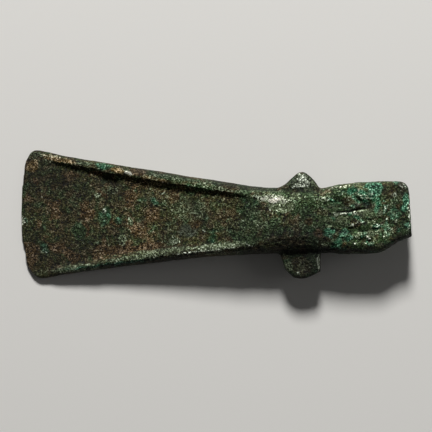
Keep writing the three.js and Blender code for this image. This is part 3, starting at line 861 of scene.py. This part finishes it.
@dataclass
class AxeHead:
    """The casting's surface: a fine copy of the solid, hammered, cracked and corroded.

    Attributes:
        name: Name of the piece.
        node: Name of the solid that it stands for.
        slot: Material slot of its record; not used.
        fineness: Edge of the mesh's squares, in mm.
        stretch: How many times thicker the copy is while it is remeshed, so that the thin edge holds squares.
        smoothing: How many rounds of smoothing take the squares' steps out.
        edge_loss: How much of the cutting edge the remeshing rounds off, in mm.
        edge_zone: Where over s making that good starts and is full.
        outline: Half-widths of the casting.
        place: Where the casting lies.
    """

    name: str = "axe_head_casting"
    node: str = "axe_head"
    slot: str = "bronze"
    fineness: float = 0.51
    stretch: float = 2.0
    smoothing: int = 2
    edge_loss: float = 0.5
    edge_zone: tuple[float, float] = (5.0, 0.5)
    outline: Outline = field(default_factory=Outline)
    place: CastingFrame = field(default_factory=CastingFrame)

    def build(self) -> bpy.types.Object:
        """Makes the casting, without its material.

        Returns:
            The finished piece.
        """
        piece = self._blank()
        mesh = piece.data
        surface = self.place.to_casting(self._rows(mesh, "co"))
        normals = self._rows(mesh, "normal")
        weathering = Weathering(surface, self.outline, normals[:, 2])
        grains = weathering.grains()
        moved = self._carved(surface, weathering.relief(grains), normals)
        mesh.vertices.foreach_set("co", moved.astype(np.float32).ravel())
        for cover, values in weathering.covers(grains).items():
            attribute = mesh.attributes.new(cover.value, "FLOAT", "POINT")
            attribute.data.foreach_set("value", values.astype(np.float32))
        mesh.shade_smooth()
        mesh.update()
        return piece

    @staticmethod
    def _rows(mesh: bpy.types.Mesh, name: str) -> np.ndarray:
        """Reads a vector of each vertex.

        Args:
            mesh: The mesh.
            name: Name of the vector, such as co for the place.

        Returns:
            Rows of three numbers.
        """
        values = np.empty(len(mesh.vertices) * 3, np.float32)
        mesh.vertices.foreach_get(name, values)
        return values.reshape(-1, 3).astype(float)

    def _blank(self) -> bpy.types.Object:
        """Copies the solid as an even mesh of small squares.

        Returns:
            The new piece, smooth and bare.
        """
        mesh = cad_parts[self.node].data.copy()
        mesh.name = self.name
        mesh.materials.clear()
        self._edit(mesh, lambda form: bmesh.ops.remove_doubles(form, verts=form.verts, dist=0.001 * MM))
        piece = bpy.data.objects.new(self.name, mesh)
        bpy.context.scene.collection.objects.link(piece)
        self._scale_z(mesh, self.stretch)
        remesh = piece.modifiers.new("even squares", "REMESH")
        remesh.mode = "VOXEL"
        remesh.voxel_size = self.fineness * MM
        depsgraph = bpy.context.evaluated_depsgraph_get()
        piece.data = bpy.data.meshes.new_from_object(piece.evaluated_get(depsgraph))
        piece.modifiers.clear()
        bpy.data.meshes.remove(mesh)
        self._scale_z(piece.data, 1 / self.stretch)
        self._edit(piece.data, self._relax)
        piece.data.name = self.name
        return piece

    def _relax(self, form: bmesh.types.BMesh) -> None:
        """Takes the squares' steps out of the surface."""
        axes = {"use_axis_x": True, "use_axis_y": True, "use_axis_z": True}
        for _ in range(self.smoothing):
            bmesh.ops.smooth_vert(form, verts=form.verts, factor=0.5, **axes)

    @staticmethod
    def _edit(mesh: bpy.types.Mesh, change: Callable[[bmesh.types.BMesh], None]) -> None:
        """Changes a mesh.

        Args:
            mesh: The mesh.
            change: What is done to its editable form.
        """
        form = bmesh.new()
        form.from_mesh(mesh)
        change(form)
        form.to_mesh(mesh)
        form.free()

    @classmethod
    def _scale_z(cls, mesh: bpy.types.Mesh, factor: float) -> None:
        """Scales the mesh up or down in thickness."""
        cls._edit(mesh, lambda form: bmesh.ops.scale(form, vec=(1.0, 1.0, factor), verts=form.verts))

    def _carved(self, surface: Surface, heights: np.ndarray, normals: np.ndarray) -> np.ndarray:
        """Moves the points and keeps them inside the solid's box.

        Args:
            surface: Points of the smooth casting.
            heights: How far each moves along its normal, in mm.
            normals: Their normals in the object's frame.

        Returns:
            The new places in the object's frame, in metres.
        """
        drawn_out = self.edge_loss * smooth_step(surface.s, *self.edge_zone)
        bitten = surface.shifted(-drawn_out, np.zeros_like(drawn_out))
        for bite in BITES:
            bitten = bite.press(bitten)
        places = self.place.to_object(bitten) + normals * (heights * MM)[:, None]
        return np.clip(places, np.array(CAD_LOW), np.array(CAD_HIGH))


# ---------- finish


class Graph:
    """A material's nodes, under short names. Lengths are in mm on the object's own coordinates."""

    def __init__(self, name: str) -> None:
        """Starts a material with its shader and output only.

        Args:
            name: Name of the material.
        """
        self.material = bpy.data.materials.new(name)
        self.material.use_nodes = True
        self.nodes = self.material.node_tree.nodes
        self.shader = self.nodes["Principled BSDF"]
        self._object = self.nodes.new("ShaderNodeTexCoord").outputs["Object"]

    def set(self, socket: Socket, value: Value) -> None:
        """Links a socket, or sets it.

        Args:
            socket: The socket.
            value: The output that it is linked to, or its colour or number.
        """
        if isinstance(value, Socket):
            self.material.node_tree.links.new(value, socket)
        else:
            socket.default_value = (*value, 1.0) if isinstance(value, tuple) else value

    def _node(self, kind: str, inputs: dict[str | int, Value], output: str | int, **settings: str) -> Socket:
        """Adds a node.

        Args:
            kind: Its type, without what all types start with.
            inputs: What its sockets are linked or set to, by name or number.
            output: Name or number of the wanted output.
            settings: Its properties.

        Returns:
            That output.
        """
        node = self.nodes.new("ShaderNode" + kind)
        for name, value in settings.items():
            setattr(node, name, value)
        for key, value in inputs.items():
            self.set(node.inputs[key], value)
        return node.outputs[output]

    def worn(self, cover: Cover) -> Socket:
        """How strongly the surface wears a cover."""
        return self._node("Attribute", {}, "Fac", attribute_name=cover.value)

    def noise(self, size: float, detail: float = 1.0, roughness: float = 0.6) -> Socket:
        """Cloudy noise with features of a size in mm, from 0 to 1."""
        inputs = {"Vector": self._object, "Scale": 1 / (size * MM), "Detail": detail, "Roughness": roughness}
        return self._node("TexNoise", inputs, "Fac")

    def cells(self, size: float) -> Socket:
        """Distance from the middles of cells of a size in mm, from 0 to about 1."""
        return self._node("TexVoronoi", {"Vector": self._object, "Scale": 1 / (size * MM)}, "Distance")

    def ramp(self, value: Value, low: float, high: float, start: float = 0.0, end: float = 1.0) -> Socket:
        """Goes smoothly from start to end as the value goes from low to high."""
        inputs = dict(enumerate((value, low, high, start, end)))
        return self._node("MapRange", inputs, "Result", interpolation_type="SMOOTHSTEP")

    def math(self, operation: str, first: Value, second: Value) -> Socket:
        """A sum, product or other operation on two numbers."""
        return self._node("Math", {0: first, 1: second}, "Value", operation=operation)

    def mix(self, share: Value, first: Value, second: Value) -> Socket:
        """A mix of two colours."""
        return self._node("Mix", {0: share, 6: first, 7: second}, 2, data_type="RGBA")

    def broken(self, cover: Cover, specks: Socket, ragged: float) -> Socket:
        """How strongly the surface wears a cover, with its edges broken up by some of the noise."""
        uneven = self.math("MULTIPLY", self.math("SUBTRACT", specks, 0.5), ragged)
        return self.ramp(self.math("ADD", self.worn(cover), uneven), 0.2, 0.8)

    def gained(self, colour: Value, gain: Value) -> Socket:
        """The colour made brighter or darker by a factor."""
        return self._node("VectorMath", {0: colour, "Scale": gain}, 0, operation="SCALE")

    def muted(self, colour: Value, saturation: Value) -> Socket:
        """The colour made greyer or stronger by a factor."""
        return self._node("HueSaturation", {"Color": colour, "Saturation": saturation}, "Color")

    def bump(self, height: Value, depth: float, under: Socket | None = None) -> Socket:
        """A normal that follows a height from 0 to 1, with a depth in mm, laid over another if given."""
        base = {} if under is None else {"Normal": under}
        return self._node("Bump", {"Distance": depth * MM, "Height": height} | base, "Normal")


@dataclass(frozen=True)
class Patina:
    """The finish of the bronze, all in one material that reads what the surface wears.

    Attributes:
        olive, brown: The two ground colours of the patina.
        green: Dull green stain.
        teal: Bright copper-green crust.
        rust: Reddish brown oxide.
        tan: Coppery metal under a thin film.
        pale: Whitish green bloom, also laid on as painted highlights in a few spots.
        grey: Smooth dark grey film.
        wear: Lighter olive where hands and earth have rubbed it.
        dirt_and_shade: What lies in the pits, also laid on as painted shadow under the far flange's fold.
        metal_and_glint: Bare rubbed bronze, made near white so that it also paints the glint of highlights.
        cloud, stain, speck, dust: Sizes of the noises that break the colours up, in mm.
        crust_depth, pore_depth, dust_depth: Depths of the grain that isn't in the mesh, in mm.
    """

    olive: Colour = tint(43, 44, 8)
    brown: Colour = tint(51, 43, 14)
    green: Colour = tint(32, 51, 18)
    teal: Colour = tint(41, 94, 65)
    rust: Colour = tint(67, 49, 14)
    tan: Colour = tint(118, 97, 52)
    pale: Colour = tint(150, 160, 137)
    grey: Colour = tint(46, 52, 41)
    wear: Colour = tint(73, 84, 55)
    dirt_and_shade: Colour = tint(8, 8, 5)
    metal_and_glint: Colour = tint(226, 223, 206)
    cloud: float = 5.0
    stain: float = 2.8
    speck: float = 0.8
    dust: float = 0.45
    crust_depth: float = 0.6
    pore_depth: float = 0.22
    dust_depth: float = 0.2

    def material(self) -> bpy.types.Material:
        """Builds the material.

        Returns:
            The bronze under its patina.
        """
        graph = Graph("corroded_bronze")
        clouds, dust = graph.noise(self.cloud), graph.noise(self.dust)
        specks = graph.noise(self.speck, roughness=0.7)
        stains = graph.noise(self.stain, roughness=0.5)
        colour = graph.mix(graph.ramp(clouds, 0.4, 0.6), self.olive, self.brown)
        colour = graph.mix(graph.ramp(stains, 0.45, 0.65, 0.0, 0.6), colour, self.green)
        layers = (
            (GREY, self.grey, stains, 0.4),
            (RUST, self.rust, stains, 1.2),
            (GREEN, self.green, stains, 1.2),
            (WEAR, self.wear, specks, 0.9),
            (TAN, self.tan, specks, 0.7),
            (TEAL, self.teal, stains, 1.2),
            (PALE, self.pale, specks, 1.1),
        )
        for cover, shade, break_up, ragged in layers:
            colour = graph.mix(graph.broken(cover, break_up, ragged), colour, shade)
        powder = graph.ramp(specks, 0.35, 0.65, 0.25, 2.05)
        powder = graph.math("MULTIPLY", powder, graph.ramp(dust, 0.38, 0.62, 0.1, 2.5))
        grain = graph.math("MULTIPLY", powder, graph.ramp(graph.worn(Cover.HEIGHT), 0.2, 0.8, 0.45, 1.7))
        strength = graph.math("SUBTRACT", 1.0, graph.math("MULTIPLY", graph.worn(GREY), 0.55))
        grain = graph.math("POWER", grain, strength)  # fainter under the smooth film
        colour = graph.muted(colour, graph.math("MINIMUM", graph.math("POWER", grain, -0.35), 1.35))
        lit = graph.math("MULTIPLY", graph.worn(Cover.LIGHT), 2.0)
        colour = graph.gained(colour, graph.math("MULTIPLY", grain, lit))
        colour = graph.mix(graph.worn(DIRT_AND_SHADE), colour, self.dirt_and_shade)
        # rubbed metal, whose near-white colour also paints the glint of highlights
        bare_and_glint = graph.broken(POLISH_AND_GLINT, specks, 0.8)
        shader = graph.shader.inputs
        graph.set(shader["Base Color"], graph.mix(bare_and_glint, colour, self.metal_and_glint))
        graph.set(shader["Metallic"], graph.math("MULTIPLY", bare_and_glint, 0.4))
        dull = graph.ramp(specks, 0.3, 0.7, 0.55, 0.8)
        graph.set(shader["Roughness"], graph.math("SUBTRACT", dull, graph.math("MULTIPLY", bare_and_glint, 0.35)))
        graph.set(shader["Specular IOR Level"], 0.25)
        crusts = graph.bump(graph.noise(0.85, detail=2.0), self.crust_depth)
        pores = graph.bump(graph.ramp(graph.cells(0.6), 0.0, 0.5), self.pore_depth, crusts)
        graph.set(shader["Normal"], graph.bump(dust, self.dust_depth, pores))
        return graph.material


# ---------- stage


@dataclass(frozen=True)
class FloorPaint:
    """The plain matt paint of the floor.

    Attributes:
        colour: Its colour.
        roughness: How matt it is, from 0 to 1.
    """

    colour: Colour = tint(228, 226, 221)
    roughness: float = 0.9

    def material(self) -> bpy.types.Material:
        """Builds the material.

        Returns:
            The paint.
        """
        graph = Graph("floor_paint")
        graph.set(graph.shader.inputs["Base Color"], self.colour)
        graph.set(graph.shader.inputs["Roughness"], self.roughness)
        return graph.material


@dataclass(frozen=True)
class Studio:
    """Floor, light and camera.

    Attributes:
        floor_size: Width of the floor, in metres.
        aim: Point that the camera and the lights look at, in metres.
        view_width: Width of what the camera sees at the object, in metres.
        camera_height: Height of the camera, in metres.
        key_elevation: Angle of the key light over the floor, in degrees.
        key_distance, key_size, key_power: Its distance and width, in metres, and power, in watts.
        fill_place: Where the fill light stands from the point it faces, in metres.
        fill_size, fill_power: Its width, in metres, and power, in watts.
        room_light: Strength of the even light of the room.
    """

    floor_size: float = 5.0
    aim: Vector = field(default_factory=lambda: Vector((0.00013, -0.00073, 0.008)))
    view_width: float = 0.18562
    camera_height: float = 1.2
    key_elevation: float = 35.0
    key_distance: float = 2.0
    key_size: float = 0.45
    key_power: float = 50.0
    fill_place: Vector = field(default_factory=lambda: Vector((1.6, 0.2, 0.9)))
    fill_size: float = 1.0
    fill_power: float = 1.5
    room_light: float = 0.05

    def build(self) -> None:
        """Sets everything up."""
        self._floor()
        self._camera()
        self._lights()

    def _floor(self) -> None:
        """A plain pale floor."""
        mesh = bpy.data.meshes.new("floor")
        form = bmesh.new()
        bmesh.ops.create_grid(form, x_segments=1, y_segments=1, size=self.floor_size / 2)
        form.to_mesh(mesh)
        form.free()
        floor = bpy.data.objects.new("floor", mesh)
        bpy.context.scene.collection.objects.link(floor)
        mesh.materials.append(FloorPaint().material())

    def _camera(self) -> None:
        """Looks straight down through a long lens, with the butt on the right."""
        data = bpy.data.cameras.new("camera")
        data.sensor_width = 36.0
        data.lens = data.sensor_width * (self.camera_height - self.aim.z) / self.view_width
        camera = bpy.data.objects.new("camera", data)
        camera.location = (self.aim.x, self.aim.y, self.camera_height)
        bpy.context.scene.collection.objects.link(camera)
        bpy.context.scene.camera = camera

    def _lights(self) -> None:
        """A soft key from the far side, a weak fill from the butt's end and a dim room."""
        rise = math.radians(self.key_elevation)
        key_place = Vector((0, math.cos(rise), math.sin(rise))) * self.key_distance
        self._area("key", key_place, self.key_size, self.key_power)
        self._area("fill", self.fill_place, self.fill_size, self.fill_power)
        world = bpy.data.worlds.new("room")
        world.use_nodes = True
        background = world.node_tree.nodes["Background"].inputs
        background["Color"].default_value = (1.0, 1.0, 1.0, 1.0)
        background["Strength"].default_value = self.room_light
        bpy.context.scene.world = world
        bpy.context.scene.view_settings.view_transform = "Standard"

    def _area(self, name: str, place: Vector, size: float, power: float) -> None:
        """A round area light that faces the object.

        Args:
            name: Name of the light.
            place: Where it stands from the point it faces, in metres.
            size: Its width, in metres.
            power: Its power, in watts.
        """
        data = bpy.data.lights.new(name, "AREA")
        data.shape = "DISK"
        data.size = size
        data.energy = power
        light = bpy.data.objects.new(name, data)
        light.location = self.aim + place
        light.rotation_euler = (-place).to_track_quat("-Z", "Y").to_euler()
        bpy.context.scene.collection.objects.link(light)


def main() -> None:
    """Builds the casting and the studio round it."""
    casting = AxeHead()
    piece = casting.build()
    piece.data.materials.append(Patina().material())
    logger.info("%s: %d faces", piece.name, len(piece.data.polygons))
    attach(piece, "root")
    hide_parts(casting.node)
    Studio().build()


if __name__ == "__main__":
    logging.basicConfig(level=logging.INFO)
    main()
